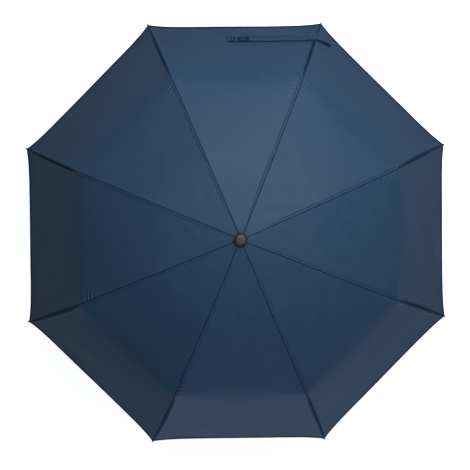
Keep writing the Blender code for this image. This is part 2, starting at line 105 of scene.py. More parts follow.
# Heights of the cloth above the hinge axes, along the ribs' outer side.
CROWN_RISE, INNER_RISE, OUTER_RISE, HEM_RISE = 0.0069, 0.0026, 0.0052, 0.0050
HOLE_RADIUS, CROWN_RADIUS = 0.003, 0.014
# How far the hem stops short of the outer rib's end.
HEM_SHORT = 0.0025
# How far the hem is drawn in between two ribs, as a share of the outer section, and the power
# with which it flares out again to the ribs.
HEM_SCALLOP, HEM_FLARE = 0.045, 7
# The hem's turned edge: its width and thickness, and how dark its underside is at least, as
# painted shade.
HEM_FOLD, HEM_THICKNESS, HEM_SHADE = 0.0068, 0.0010, 0.5
# How far the stretched cloth rounds off the two folds. A soap film's would be 1.
INNER_SOFTNESS, OUTER_SOFTNESS = 0.50, 0.20
# Slow ripples: their height, and the turn in degrees from one wave to the next.
RIPPLE_HEIGHT, RIPPLE_TURN = 0.00016, 137.5
# Pleats at the cap: their height, how far outside it they are highest, and their reach.
PLEAT_HEIGHT, PLEAT_PLACE, PLEAT_REACH = 0.00032, 0.005, 0.012

# The seam inside the outer knee is flat: a flap that lies towards the next rib and widens
# outwards, with a line of stitches on the seam and another at the flap's edge.
FLAP_NARROW, FLAP_WIDENING, FLAP_HEIGHT = 0.0016, 0.0034, 0.0004
STITCH_PLACE, STITCH_WIDTH, STITCH_DEPTH = -0.0008, 0.0011, 0.0006
# The edge stitches' width, depth, and darkness as a share of the seam stitches'. The darkness of
# both lines is thread and painted shade.
EDGE_STITCH_WIDTH, EDGE_STITCH_DEPTH, EDGE_STITCH_SHADE = 0.0010, 0.0004, 0.55
# Outside that knee the seam is a valley between two crests, widest half way to the hem.
VALLEY_NARROW, VALLEY_WIDENING, VALLEY_SHIFT = 0.0012, 0.0026, 0.0016
VALLEY_DEPTH, CREST_HEIGHT = 0.0011, 0.0009
# The dent where a seam is tacked to its top rib: along, across and down.
TACK_LENGTH, TACK_REACH, TACK_DEPTH = 0.0022, 0.0020, 0.0007

# Tucks just inside the outer knee: height, distance from one to the next, reach from the seam,
# and the height of those on the seam's other side as a share.
TUCK_HEIGHT, TUCK_PITCH, TUCK_REACH, OTHER_SIDE = 0.0019, 0.0092, 0.015, 0.28
# The ribs whose seam gathers its tucks on the side towards the rib before.
TUCKED_BEFORE = (0, 1, 3, 4, 7)

# The rib whose seam the tie strap is sewn into, and where the strap covers that seam's valley:
# the shares of the outer section where it starts to, does, stops and ends.
STRAP_RIB = 1
STRAP_COVER = (0.66, 0.69, 0.80, 0.84)


def off_axis(knee, droop, along, up):
    """A point given along and above a rib of that droop, as (outward, height)."""
    return knee + (
        along * math.cos(droop) + up * math.sin(droop),
        up * math.cos(droop) - along * math.sin(droop),
    )


LINE = np.array([
    (HOLE_RADIUS, HUB[1] + CROWN_RISE),
    (CROWN_RADIUS, HUB[1] + CROWN_RISE),
    off_axis(INNER_KNEE, (TOP_DROOP + MIDDLE_DROOP) / 2, 0, INNER_RISE),
    off_axis(OUTER_KNEE, (MIDDLE_DROOP + OUTER_DROOP) / 2, 0, OUTER_RISE),
    off_axis(OUTER_KNEE, OUTER_DROOP, OUTER_RIB_LENGTH - HEM_SHORT, HEM_RISE),
])
STEPS = np.hypot(*np.diff(LINE, axis=0).T)
ARC = np.concatenate([[0], np.cumsum(STEPS)]) - STEPS[0]
RIM, INNER, OUTER, HEM = ARC[1:]
# Where the seam is tied to the top rib.
TACK = INNER - 0.008
# Past the hem the line goes on straight, for the turned edge.
SPARE = 0.02
LINE_KNOTS = np.append(ARC, HEM + SPARE)
LINE_POINTS = np.vstack([LINE, LINE[4] + (LINE[4] - LINE[3]) / STEPS[3] * SPARE])
HALF_PITCH = PITCH / 2
DROOPS = np.arctan2(-np.diff(LINE[:, 1]), np.diff(LINE[:, 0]))
GORE_DROOPS = np.arctan(np.tan(DROOPS) / math.cos(HALF_PITCH))


def smoothstep(x, low, high):
    t = np.clip((x - low) / (high - low), 0, 1)
    return t * t * (3 - 2 * t)


def window(x, start, full, waning, end):
    """Rises to 1 between start and full, and falls to 0 between waning and end."""
    return smoothstep(x, start, full) * (1 - smoothstep(x, waning, end))


def unit(vectors):
    """The vectors at length 1."""
    return vectors / np.maximum(np.linalg.norm(vectors, axis=-1, keepdims=True), 1e-12)


def bell(distance, width):
    """1 at no distance, and almost nothing at two widths."""
    return np.exp(-((distance / width) ** 2))


def past_outer_knee(s, most=1.0):
    """How far s lies beyond the outer knee, as a share of the outer section."""
    return np.clip((s - OUTER) / (HEM - OUTER), 0, most)


def line_at(s):
    """(outward, height) on the seam line, s metres from the crown's rim."""
    return (
        np.interp(s, LINE_KNOTS, LINE_POINTS[:, 0]),
        np.interp(s, LINE_KNOTS, LINE_POINTS[:, 1]),
    )


def half_width(s):
    """Half a gore's width, from a seam to the gore's middle."""
    return line_at(s)[0] * math.sin(HALF_PITCH)


def tilt_at(s):
    """The slope of the cloth, rounded off at the knees."""
    round_off = 0.010
    tilt = np.full(np.shape(s), GORE_DROOPS[0])
    for knot, before, after in zip(ARC[1:4], GORE_DROOPS, GORE_DROOPS[1:]):
        tilt = tilt + (after - before) * smoothstep(s, knot - round_off, knot + round_off)
    return tilt


def knee_sag(s, across):
    """How far the stretched cloth lies below flat panels, because it rounds off the folds.

    A fold's bend is split into waves across the gore. The shorter ones die away sooner.
    """
    total = np.zeros(np.broadcast(s, across).shape)
    for knot, bend, softness in (
        (INNER, GORE_DROOPS[2] - GORE_DROOPS[1], INNER_SOFTNESS),
        (OUTER, GORE_DROOPS[3] - GORE_DROOPS[2], OUTER_SOFTNESS),
    ):
        width = half_width(knot)
        for n in range(1, 60, 2):
            reach = 2 * width / (n * math.pi) * softness
            share = 4 / (n * math.pi) * math.sin(n * math.pi / 2)
            total = total + (
                share * np.cos(n * math.pi * across / 2) * bend * reach / 2
                * np.exp(-np.abs(s - knot) / reach)
            )
    return total


def ripple(gore, s, across):
    """Slow unevenness of stretched cloth, different in each gore."""
    edge = 1 - across * across
    total = 0
    for wave in range(4):
        turn = math.radians(RIPPLE_TURN * (7 * gore + 3 * wave + 1))
        along, over = 52 + 17 * wave, 2.1 + 1.3 * wave
        total = total + np.sin(along * s + turn) * np.cos(over * across + 2.3 * turn)
    return RIPPLE_HEIGHT * edge * smoothstep(s, 0.02, 0.10) * total


def flat_seam(s, y):
    """Height of the flat seam, inside the outer knee, and its darkness: thread and painted shade
    along its two stitched lines.
    """
    spread = smoothstep(s, 0.01, 0.10)
    flap = FLAP_NARROW + FLAP_WIDENING * spread
    stitch = bell(y - STITCH_PLACE, STITCH_WIDTH)
    edge_stitch = bell(y - flap, EDGE_STITCH_WIDTH) * spread
    plateau = window(y, STITCH_PLACE, 0.0006, flap - 0.0012, flap)
    height = FLAP_HEIGHT * plateau - STITCH_DEPTH * stitch - EDGE_STITCH_DEPTH * edge_stitch
    return height, stitch + EDGE_STITCH_SHADE * edge_stitch


def valley_seam(s, y):
    """Height of the seam's valley, outside the outer knee, and the painted shade that darkens it.
    """
    swell = np.sin(math.pi * np.clip(past_outer_knee(s) * 1.02, 0, 1) ** 0.8)
    lens = np.sqrt(np.clip(swell, 0, 1))
    wide = VALLEY_NARROW + VALLEY_WIDENING * lens
    away = y - VALLEY_SHIFT * lens
    valley = bell(away, wide)
    crest = bell(np.abs(away) - 1.8 * wide, 0.9 * wide)
    return lens * (CREST_HEIGHT * crest - VALLEY_DEPTH * valley), (0.60 + 0.40 * lens) * valley


def seam_relief(rib, s, y):
    """Height of the seam's relief and its darkness: thread and painted shade along its stitched
    lines, and painted shade in its valley, in its tack's dent and along the hem's turned edge.

    y is the distance from the seam line, positive towards the next rib.
    """
    flat = 1 - smoothstep(s, OUTER - 0.004, OUTER + 0.004)
    valley = 1 - flat
    if rib == STRAP_RIB:
        valley = valley - window(past_outer_knee(s), *STRAP_COVER)
    flat_height, flat_stitch_and_shade = flat_seam(s, y)
    valley_height, valley_painted_shade = valley_seam(s, y)
    tack = bell(s - TACK, TACK_LENGTH) * bell(y, TACK_REACH)
    turned_edge_shade = smoothstep(s, HEM - 0.0075, HEM - 0.0020)
    hem_stitch = bell(s - HEM + HEM_FOLD, 0.0009)
    height = flat * flat_height + valley * valley_height - TACK_DEPTH * tack
    dark = flat * flat_stitch_and_shade + valley * valley_painted_shade
    # The tack's dent and the hem's turned edge are darkened with painted shade; the hem's stitch
    # line is thread.
    dark = dark + 0.8 * tack + 0.95 * turned_edge_shade + 0.15 * hem_stitch
    return height, np.clip(dark, 0, 1)


def gathers(s, over):
    """Fine radial pleats where the cloth is pinched under the cap."""
    return PLEAT_HEIGHT * bell(s - PLEAT_PLACE, PLEAT_REACH) * np.cos(4.5 * math.pi * over)


def puckers(rib, s, y):
    """Short tucks that the seam gathers just inside the outer knee, mostly on one side."""
    side = -1 if rib in TUCKED_BEFORE else 1
    away = np.abs(y)
    along = (OUTER - 0.004 - s) - 0.12 * away
    length = window(along, -0.001, 0.006, 0.026, 0.036)
    fade = bell(away, TUCK_REACH) * smoothstep(away, 0.0015, 0.0045)
    strength = np.where(np.sign(y) == side, 1.0, OTHER_SIDE) * (0.75 + 0.25 * math.sin(5.1 * rib))
    wave = np.cos(2 * math.pi * along / TUCK_PITCH + 0.7 * rib)
    return TUCK_HEIGHT * strength * length * fade * wave


def cloth(rib, s, y):
    """Points of the cloth and their seam darkness, from stitches and painted shade, in the row
    frame.

    s runs outwards along the seam over rib number rib, y is the level distance from it.
    """
    s, y = np.broadcast_arrays(np.asarray(s, float), np.asarray(y, float))
    side = np.where(y < 0, -1.0, 1.0)
    gore = np.where(y < 0, (rib - 1) % RIB_COUNT, rib)
    width = half_width(s)
    inside = 1 - np.abs(y) / np.maximum(width, 1e-9)
    edge = 1 - inside ** HEM_FLARE
    drawn = s - HEM_SCALLOP * edge * past_outer_knee(s, 1.1) ** 2 * STEPS[3]
    outward, height = line_at(drawn)
    level = (1 - inside) * half_width(drawn)
    azimuth = RIB_AZIMUTHS[rib]
    chord = azimuth + side * (math.pi / 2 + HALF_PITCH)
    points = np.stack([
        outward * math.cos(azimuth) + level * np.cos(chord),
        outward * math.sin(azimuth) + level * np.sin(chord),
        height,
    ], axis=-1)
    relief, dark = seam_relief(rib, s, y)
    over = -side * inside
    lift = relief + puckers(rib, s, y) - knee_sag(s, over) + gathers(s, over)
    for number in (rib, (rib - 1) % RIB_COUNT):
        lift = lift + np.where(gore == number, ripple(number, s, over), 0)
    around = np.arctan2(points[..., 1], points[..., 0])
    tilt = tilt_at(s)
    normal = np.stack([
        np.sin(tilt) * np.cos(around), np.sin(tilt) * np.sin(around), np.cos(tilt),
    ], axis=-1)
    return points + lift[..., None] * normal, dark, normal


def cloth_normals(rib, s, y):
    """Unit normals of the cloth, from its slope either way."""
    reach_s, reach_y = 0.0004, 0.0002
    along = cloth(rib, s + reach_s, y)[0] - cloth(rib, s - reach_s, y)[0]
    ahead, behind = cloth(rib, s, y + reach_y)[0], cloth(rib, s, y - reach_y)[0]
    return unit(np.cross(along, ahead - behind))


# ---------------------------------------------------------------- materials


class Look:
    """A material's node tree and short ways to add to it."""

    def __init__(self, name):
        self.material = bpy.data.materials.new(name)
        self.material.use_nodes = True
        self.tree = self.material.node_tree
        self.shader = self.tree.nodes["Principled BSDF"]

    def node(self, kind, **settings):
        made = self.tree.nodes.new("ShaderNode" + kind)
        for key, value in settings.items():
            if key in made.inputs.keys():
                made.inputs[key].default_value = value
            else:
                setattr(made, key, value)
        return made

    def link(self, source, target):
        self.tree.links.new(source, target)

    def set(self, **values):
        for key, value in values.items():
            self.shader.inputs[key.replace("_", " ")].default_value = value

    def feed(self, name, source):
        """Links a source to one of the shader's own sockets."""
        self.link(source, self.shader.inputs[name])

    def place(self, source, scale):
        """Texture coordinates: UV in metres, or the object's own, stretched by scale."""
        coordinates = self.node("TexCoord")
        mapping = self.node("Mapping")
        mapping.inputs["Scale"].default_value = scale
        self.link(coordinates.outputs[source], mapping.inputs["Vector"])
        return mapping.outputs["Vector"]

    def noise(self, vector, scale, detail=3.0, roughness=0.55):
        made = self.node("TexNoise", Scale=scale, Detail=detail, Roughness=roughness)
        self.link(vector, made.inputs["Vector"])
        return made.outputs["Fac"]

    def ramp(self, value, stops):
        made = self.node("ValToRGB")
        elements = made.color_ramp.elements
        while len(elements) < len(stops):
            elements.new(0.5)
        for element, (position, colour) in zip(elements, stops):
            element.position = position
            element.color = (*colour, 1) if len(colour) == 3 else colour
        self.link(value, made.inputs["Fac"])
        return made.outputs["Color"]

    def mix(self, kind, first, second, factor):
        made = self.node("Mix", data_type="RGBA", blend_type=kind)
        for value, socket in ((first, made.inputs[6]), (second, made.inputs[7]),
                              (factor, made.inputs[0])):
            if isinstance(value, (int, float)):
                socket.default_value = value
            elif isinstance(value, tuple):
                socket.default_value = (*value, 1)
            else:
                self.link(value, socket)
        return made.outputs[2]

    def math(self, operation, first, second=0.0):
        made = self.node("Math", operation=operation)
        for value, socket in ((first, made.inputs[0]), (second, made.inputs[1])):
            if isinstance(value, (int, float)):
                socket.default_value = value
            else:
                self.link(value, socket)
        return made.outputs[0]

    def bump(self, height, distance, strength=1.0, onto=None):
        made = self.node("Bump", Distance=distance, Strength=strength)
        self.link(height, made.inputs["Height"])
        if onto is not None:
            self.link(onto, made.inputs["Normal"])
        return made.outputs["Normal"]


def grey(value):
    return (value, value, value)


# From one yarn of the cloth to the next, in metres.
YARN = 0.00042
# The scale at which a band texture repeats once a metre.
BANDS_PER_METRE = 2 * math.pi / 20
# The cloth's colour is multiplied by this where stitches darken it, and where it is darkened with
# painted shade: in the seams' valleys, dents and folds and along the turned hem.
SEAM_STITCH_AND_SHADE_TINT = (0.04, 0.16, 0.30)
SEAM_ROUGHNESS = 0.95


def cloth_look(name, base, lighter):
    """Plain-woven pongee: fine yarns both ways, slubs, slow mottling and a soft sheen."""
    look = Look(name)
    look.set(Sheen_Weight=0.02, Sheen_Roughness=0.45, Sheen_Tint=(0.55, 0.75, 1.0, 1),
             Specular_IOR_Level=0.085)
    flat = look.place("UV", (1, 1, 1))
    warp_slubs = look.noise(look.place("UV", (900, 26, 1)), 1.0, 2.0)
    weft_slubs = look.noise(look.place("UV", (22, 760, 1)), 1.0, 2.0)
    mottle = look.noise(flat, 34.0, 4.0, 0.6)
    tone = look.math("ADD", look.math("MULTIPLY", warp_slubs, 0.25),
                     look.math("MULTIPLY", weft_slubs, 0.35))
    tone = look.math("ADD", tone, look.math("MULTIPLY", mottle, 0.40))
    colour = look.ramp(tone, [(0.36, base), (0.64, lighter)])
    # The seam attribute holds thread darkness and painted shade together.
    seam = look.node("Attribute", attribute_name="seam").outputs["Fac"]
    colour = look.mix("MIX", colour, look.mix("MULTIPLY", colour, SEAM_STITCH_AND_SHADE_TINT, 1.0), seam)
    look.feed("Base Color", colour)
    heights = []
    for direction in ("X", "Y"):
        wave = look.node("TexWave", wave_type="BANDS", bands_direction=direction,
                         Scale=BANDS_PER_METRE / YARN, Distortion=0.6)
        wave.inputs["Detail Scale"].default_value = 0.05
        look.link(flat, wave.inputs["Vector"])
        heights.append(wave.outputs["Fac"])
    weave = look.math("MULTIPLY", heights[0], heights[1])
    fine = look.bump(weave, 0.00006, 0.35)
    coarse = look.bump(look.math("ADD", warp_slubs, weft_slubs), 0.00010, 0.30, fine)
    look.feed("Normal", coarse)
    roughness = look.ramp(mottle, [(0.3, grey(0.46)), (0.7, grey(0.56))])
    roughness = look.mix("MIX", roughness, grey(SEAM_ROUGHNESS), seam)
    look.feed("Roughness", roughness)
    return look.material


def plastic_look(name, colour, roughness, grain=420.0, depth=0.00004, specular=0.5):
    """Moulded plastic: fine spark-eroded grain, faint flow marks and handling sheen."""
    look = Look(name)
    look.set(Specular_IOR_Level=specular)
    own = look.place("Object", (1, 1, 1))
    fine = look.noise(own, grain * 4, 2.0)
    flow = look.noise(own, grain / 6, 4.0)
    lighter = tuple(min(1.0, channel * 1.35 + 0.004) for channel in colour)
    look.feed("Base Color", look.ramp(flow, [(0.35, colour), (0.7, lighter)]))
    low, high = max(0.05, roughness - 0.07), min(1.0, roughness + 0.08)
    look.feed("Roughness", look.ramp(flow, [(0.3, grey(low)), (0.75, grey(high))]))
    look.feed("Normal", look.bump(fine, depth, 0.5))
    return look.material


def metal_look(name, colour, roughness, streak=(220.0, 220.0, 220.0)):
    """Drawn and plated steel: faint stains, and streaks along the axis of the least scale."""
    look = Look(name)
    look.set(Metallic=1.0)
    streaks = look.noise(look.place("Object", streak), 1.0, 3.0)
    stains = look.noise(look.place("Object", (1, 1, 1)), 60.0, 4.0, 0.65)
    darker = tuple(channel * 0.88 for channel in colour)
    low, high = max(0.05, roughness - 0.08), roughness + 0.10
    look.feed("Base Color", look.ramp(stains, [(0.35, darker), (0.6, colour)]))
    look.feed("Roughness", look.ramp(streaks, [(0.3, grey(low)), (0.7, grey(high))]))
    look.feed("Normal", look.bump(streaks, 0.00003, 0.25))
    return look.material


def pearl_look(name, dark, light, sparkle):
    """Taupe lacquer with pearly flakes and soft clouds of a lighter tone."""
    look = Look(name)
    look.set(Metallic=0.2, Coat_Weight=0.05, Coat_Roughness=0.3, Specular_IOR_Level=0.3)
    own = look.place("Object", (1, 1, 1))
    clouds = look.noise(own, 260.0, 4.0, 0.65)
    flakes = look.noise(own, 1500.0, 2.0, 0.7)
    colour = look.ramp(clouds, [(0.36, dark), (0.66, light)])
    glints = look.ramp(flakes, [(0.60, grey(0.0)), (0.72, grey(1.0))])
    look.feed("Base Color", look.mix("MIX", colour, sparkle, glints))
    look.feed("Roughness", look.ramp(clouds, [(0.3, grey(0.42)), (0.7, grey(0.56))]))
    look.feed("Normal", look.bump(clouds, 0.0002, 0.35))
    return look.material


NAVY = cloth_look("navy_pongee", (0.0110, 0.0288, 0.0575), (0.0134, 0.0340, 0.0675))
STRAP_NAVY = cloth_look("strap_pongee", (0.0106, 0.0278, 0.0556), (0.0129, 0.0329, 0.0653))
BLACK_PLASTIC = plastic_look("black_plastic", (0.012, 0.013, 0.016), 0.38)
SOFT_BLACK = plastic_look("soft_touch_rubber", (0.016, 0.016, 0.018), 0.62, 900.0, 0.00005)
CAP_BLACK = plastic_look("cap_black", (0.003, 0.004, 0.007), 0.52, 500.0, 0.00002, 0.15)
THREAD = plastic_look("sewing_thread", (0.005, 0.011, 0.024), 0.70, 900.0)
STEEL = metal_look("plated_steel", (0.46, 0.47, 0.49), 0.32)
BRIGHT = metal_look("bright_tube", (0.50, 0.51, 0.53), 0.18, (900.0, 900.0, 9.0))
DARK_STEEL = metal_look("black_steel", (0.045, 0.046, 0.050), 0.42)
INLAY = pearl_look("taupe_inlay", (0.014, 0.0085, 0.0055), (0.042, 0.030, 0.024),
                   (0.11, 0.090, 0.080))

NODE_LOOKS = {
    "top_rib": STEEL, "stretcher": STEEL, "middle_rib": STEEL, "outer_rib": DARK_STEEL,
    "rib_tip": BLACK_PLASTIC, "upper_tube": BRIGHT, "middle_tube": BRIGHT,
    "lower_tube": BRIGHT, "upper_bush": BLACK_PLASTIC, "lower_bush": BLACK_PLASTIC,
    "upper_catch": STEEL, "lower_catch": STEEL, "handle_grip": SOFT_BLACK,
    "handle_collar": BLACK_PLASTIC, "handle_end_cap": BLACK_PLASTIC,
    "crown": BLACK_PLASTIC, "crown_wire": STEEL, "runner": BLACK_PLASTIC,
    "runner_button": SOFT_BLACK, "button_spring": STEEL, "top_cap": BLACK_PLASTIC,
    "cap_inlay": INLAY, "canopy": NAVY, "tie_strap": STRAP_NAVY,
}
for node_name, node in frame["nodes"].items():
    family = node_name.rstrip("0123456789").rstrip("_")
    node.data.materials.clear()
    node.data.materials.append(NODE_LOOKS[family])


# ---------------------------------------------------------------- sheets of cloth

# Points of a grid that are nearer than this are one vertex.
SAME_POINT = 1e-7


def add_object(name, data):
    made = bpy.data.objects.new(name, data)
    bpy.context.scene.collection.objects.link(made)
    return made


def sheet_object(name, points, normals, uv, dark, look):
    """A smooth sheet from a grid of points, with its own normals, UV in metres and seams: a
    darkness attribute for stitches and painted shade.
    """
    rows, columns = points.shape[:2]
    flat = points.reshape(-1, 3)
    keys = np.round(flat / SAME_POINT).astype(np.int64)
    _, first, index = np.unique(keys, axis=0, return_index=True, return_inverse=True)
    grid = index.reshape(rows, columns)
    faces = []
    for row in range(rows - 1):
        for column in range(columns - 1):
            corners = [grid[row, column], grid[row + 1, column],
                       grid[row + 1, column + 1], grid[row, column + 1]]
            kept = [c for i, c in enumerate(corners) if c != corners[i - 1]]
            if len(kept) > 2:
                faces.append(kept)
    mesh = bpy.data.meshes.new(name)
    mesh.from_pydata(flat[first].tolist(), [], faces)
    chosen = normals.reshape(-1, 3)[first]
    mesh.update()
    facing = np.array([tuple(p.normal) for p in mesh.polygons])
    wanted = np.array([chosen[list(p.vertices)].mean(0) for p in mesh.polygons])
    if (facing * wanted).sum() < 0:
        mesh.flip_normals()
    coordinates = mesh.uv_layers.new(name="cloth_metres")
    loops = np.zeros(len(mesh.loops), np.int32)
    mesh.loops.foreach_get("vertex_index", loops)
    coordinates.data.foreach_set("uv", uv.reshape(-1, 2)[first][loops].astype(np.float32).ravel())
    seam = mesh.attributes.new("seam", "FLOAT", "POINT")
    seam.data.foreach_set("value", dark.reshape(-1)[first].astype(np.float32))
    mesh.shade_smooth()
    mesh.normals_split_custom_set_from_vertices(chosen.tolist())
    mesh.materials.append(look)
    return add_object(name, mesh)


def spaced(start, end, step):
    """Even places from start to end, about a step apart."""
    count = max(1, round((end - start) / step))
    return list(np.linspace(start, end, count + 1))


def chained(*runs):
    """Runs of (start, end, step) as one rising list without repeats."""
    values = []
    for start, end, step in runs:
        values += spaced(start, end, step)[1 if values else 0:]
    return np.array(values)


# Lengths of cloth with close rows: beside a knee, along the tucks and at the hem.
KNEE_ZONE, TUCK_ZONE, HEM_ZONE = 0.010, 0.046, 0.008
# The width of each of the two bands of cloth just outside a knee.
MIDDLE_BAND, OUTER_BAND = 0.015, 0.020
# The second row and the edge of the disc under the cap, and the end of the pleats.
DISC_START, DISC_EDGE, PLEATS_END = -0.009, -0.0015, 0.0105
# Where one strip over a seam ends and the next one starts.
TOP_MIDDLE, MIDDLE_MIDDLE = 0.095, INNER + 0.080
# Distances from row to row.
PLEAT_STEP, PANEL_STEP, INNER_KNEE_STEP, TUCK_STEP = 0.0015, 0.009, 0.0017, 0.0016
BAND_STEP, OUTER_STEP, HEM_STEP = 0.005, 0.008, 0.0020
TOP_ROWS = chained(
    (DISC_EDGE, PLEATS_END, PLEAT_STEP), (PLEATS_END, TOP_MIDDLE, PANEL_STEP),
    (TOP_MIDDLE, INNER - KNEE_ZONE, PANEL_STEP), (INNER - KNEE_ZONE, INNER, INNER_KNEE_STEP),
)
MIDDLE_ROWS = chained(
    (INNER, INNER + KNEE_ZONE, INNER_KNEE_STEP),
    (INNER + KNEE_ZONE, INNER + MIDDLE_BAND, BAND_STEP),
    (INNER + MIDDLE_BAND, INNER + 2 * MIDDLE_BAND, MIDDLE_BAND / 2),
    (INNER + 2 * MIDDLE_BAND, MIDDLE_MIDDLE, PANEL_STEP),
    (MIDDLE_MIDDLE, OUTER - TUCK_ZONE, PANEL_STEP), (OUTER - TUCK_ZONE, OUTER, TUCK_STEP),
)
OUTER_ROWS = chained(
    (OUTER, OUTER + KNEE_ZONE, TUCK_STEP), (OUTER + KNEE_ZONE, OUTER + OUTER_BAND, BAND_STEP),
    (OUTER + OUTER_BAND, OUTER + 2 * OUTER_BAND, BAND_STEP),
    (OUTER + 2 * OUTER_BAND, HEM - HEM_ZONE, OUTER_STEP), (HEM - HEM_ZONE, HEM, HEM_STEP),
)
# The hem is turned under and stitched: (along, down) of its rows past the edge.
TURNED_HEM = [
    (0.0004, 0.0001), (0.0007, 0.0004), (0.0004, 0.0009), (-0.0015, HEM_THICKNESS),
    (-0.0040, HEM_THICKNESS), (-HEM_FOLD, HEM_THICKNESS),
]

# Half the width of the band of cloth over a rib: at the cap, at both knees and at the hem.
STRIP_START, STRIP_KNEE, STRIP_END = 0.0078, 0.0068, 0.0080


def strip_width(s):
    """Half the width of the band of cloth that is sewn over a rib."""
    return np.interp(s, (RIM, INNER, OUTER, HEM), (STRIP_START, STRIP_KNEE, STRIP_KNEE, STRIP_END))


def border(s):
    """How far the band over a rib reaches from its seam. Near the cap the bands meet."""
    return np.minimum(strip_width(s), half_width(s))


def bands_part():
    """Where two neighbouring seam bands stop meeting, found by small steps."""
    s = 0.0
    for _ in range(60):
        s += (strip_width(s) - half_width(s)) / math.sin(HALF_PITCH)
    return s


# The panels start at the bands' parting, which is a row as well.
PANEL_START = bands_part()
TOP_ROWS = np.unique(np.append(TOP_ROWS, PANEL_START))


def cloth_grid(rib, rows, y_of, hem=False):
    """Points, normals, UV and seam darkness (stitches and painted shade) over rows of s, with
    y_of(s) across each.
    """
    s = np.array([np.full(len(y_of(row)), row) for row in rows])
    y = np.array([y_of(row) for row in rows])
    points, dark, _ = cloth(rib, s, y)
    normals = cloth_normals(rib, s, y)
    depth = np.zeros_like(s)
    if hem:
        edge_y, edge_normal = y[-1:], normals[-1:]
        outward = unit(points[-1:] - points[-2:-1])
        for along, down in TURNED_HEM:
            edge_s = np.full_like(edge_y, HEM + along)
            more, shade, up = cloth(rib, edge_s, edge_y)
            turn = min(down / HEM_THICKNESS, 1) * math.pi
            turned = edge_normal * math.cos(turn) + outward * math.sin(turn)
            points = np.vstack([points, more - down * up])
            normals = np.vstack([normals, turned])
            # The turned-under rows are darkened with painted shade, at least to HEM_SHADE.
            dark = np.vstack([dark, np.maximum(shade, HEM_SHADE)])
            s = np.vstack([s, edge_s])
            y = np.vstack([y, edge_y])
            depth = np.vstack([depth, np.full_like(edge_y, down)])
    side = np.where(y < 0, -1, 1)
    uv = np.stack([side * (half_width(s) - np.abs(y)), s + depth], axis=-1)
    return points, normals, uv, dark


def make_disc():
    """The middle of the cloth, pinched between the cap and the crown."""
    rows = np.concatenate([[ARC[0]], spaced(DISC_START, DISC_EDGE, PLEAT_STEP)])
    grids = []
    for rib in range(RIB_COUNT):
        shares = np.linspace(-1, 1, 9)[0 if rib == 0 else 1:]
        grids.append(cloth_grid(rib, rows, lambda s, shares=shares: shares * half_width(s)))
    joined = [np.concatenate([grid[item] for grid in grids], axis=1) for item in range(4)]
    disc = sheet_object("canopy_centre", *joined, NAVY)
    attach(disc, SHAFT_BODY)
    return disc


# Places across a strip, as shares of its half width.
STRIP_SHARES = np.array([
    -1, -0.85, -0.7, -0.55, -0.42, -0.3, -0.2, -0.1, 0, 0.1, 0.2, 0.3, 0.42, 0.55, 0.65,
    0.75, 0.85, 1,
])


def make_strip(name, rib, rows, hem=False):
    """The cloth over a stretch of one seam."""
    grid = cloth_grid(rib, rows, lambda s: STRIP_SHARES * border(s), hem)
    strip = sheet_object(name, *grid, NAVY)
    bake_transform(strip)
    return strip


def level_axis(rib, side):
    """The level direction across half a gore, away from the rib."""
    chord = RIB_AZIMUTHS[rib] + side * (math.pi / 2 + HALF_PITCH)
    return np.array((math.cos(chord), math.sin(chord), 0.0))


def panel_axis(rib, side, section):
    """The in-panel direction across a half gore, square to the border of its seam band."""
    azimuth = RIB_AZIMUTHS[rib]
    droop = DROOPS[section]
    along = np.array((
        math.cos(azimuth) * math.cos(droop), math.sin(azimuth) * math.cos(droop),
        -math.sin(droop),
    ))
    level = level_axis(rib, side)
    widening = (strip_width(ARC[section + 1]) - strip_width(ARC[section])) / STEPS[section]
    line = along + widening * level
    line /= np.linalg.norm(line)
    across = level - (level @ line) * line
    return across / np.linalg.norm(across)


# Places across half a gore, as shares of the way from the strip to its middle.
PANEL_SHARES = np.array([
    0, 0.02, 0.05, 0.09, 0.13, 0.18, 0.24, 0.32, 0.41, 0.51, 0.62, 0.74, 0.87, 1,
])
SECTIONS = (
    # name, section, rows, width of a knee band, share of its width a folded half gore keeps
    ("top", 1, TOP_ROWS, None, 0.012),
    ("middle", 2, MIDDLE_ROWS, MIDDLE_BAND, 0.012),
    ("outer", 3, OUTER_ROWS, OUTER_BAND, 0.032),
)


def rows_between(rows, low, high):
    return rows[(rows >= low - SAME_POINT) & (rows <= high + SAME_POINT)]


def banded(rows, band):
    """Rows as (name, rows, True for a band next to the knee)."""
    if band is None:
        return [("", rows[rows >= PANEL_START], False)]
    cuts = [rows[0], rows[0] + band, rows[0] + 2 * band, rows[-1]]
    pieces = []
    for number, (low, high) in enumerate(zip(cuts, cuts[1:])):
        name = ("_knee", "_bend", "")[number]
        pieces.append((name, rows_between(rows, low, high), number < 2))
    return pieces


def make_panel(name, rib, side, section, rows, by_knee):
    """Part of half a gore, from the seam band over its rib to the gore's middle."""

    def across(s):
        near, far = border(s), half_width(s)
        return side * (near + PANEL_SHARES * (far - near))

    panel = sheet_object(name, *cloth_grid(rib, rows, across, rows[-1] == HEM), NAVY)
    axis = level_axis(rib, side) if by_knee else panel_axis(rib, side, section)
    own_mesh(panel)
    return panel


def flat_size(piece):
    """(width, length, area) of a stretched piece, from its own surface."""
    area = sum(polygon.area for polygon in piece.data.polygons)
    uv = np.zeros(len(piece.data.loops) * 2, np.float32)
    piece.data.uv_layers[0].data.foreach_get("uv", uv)
    uv = uv.reshape(-1, 2)
    width, length = uv.max(0) - uv.min(0)
    return float(width), float(length), float(area)


def declare_sheet(piece):
    """Works out a stretched piece's flat size; nothing uses it."""
    width, length, area = flat_size(piece)


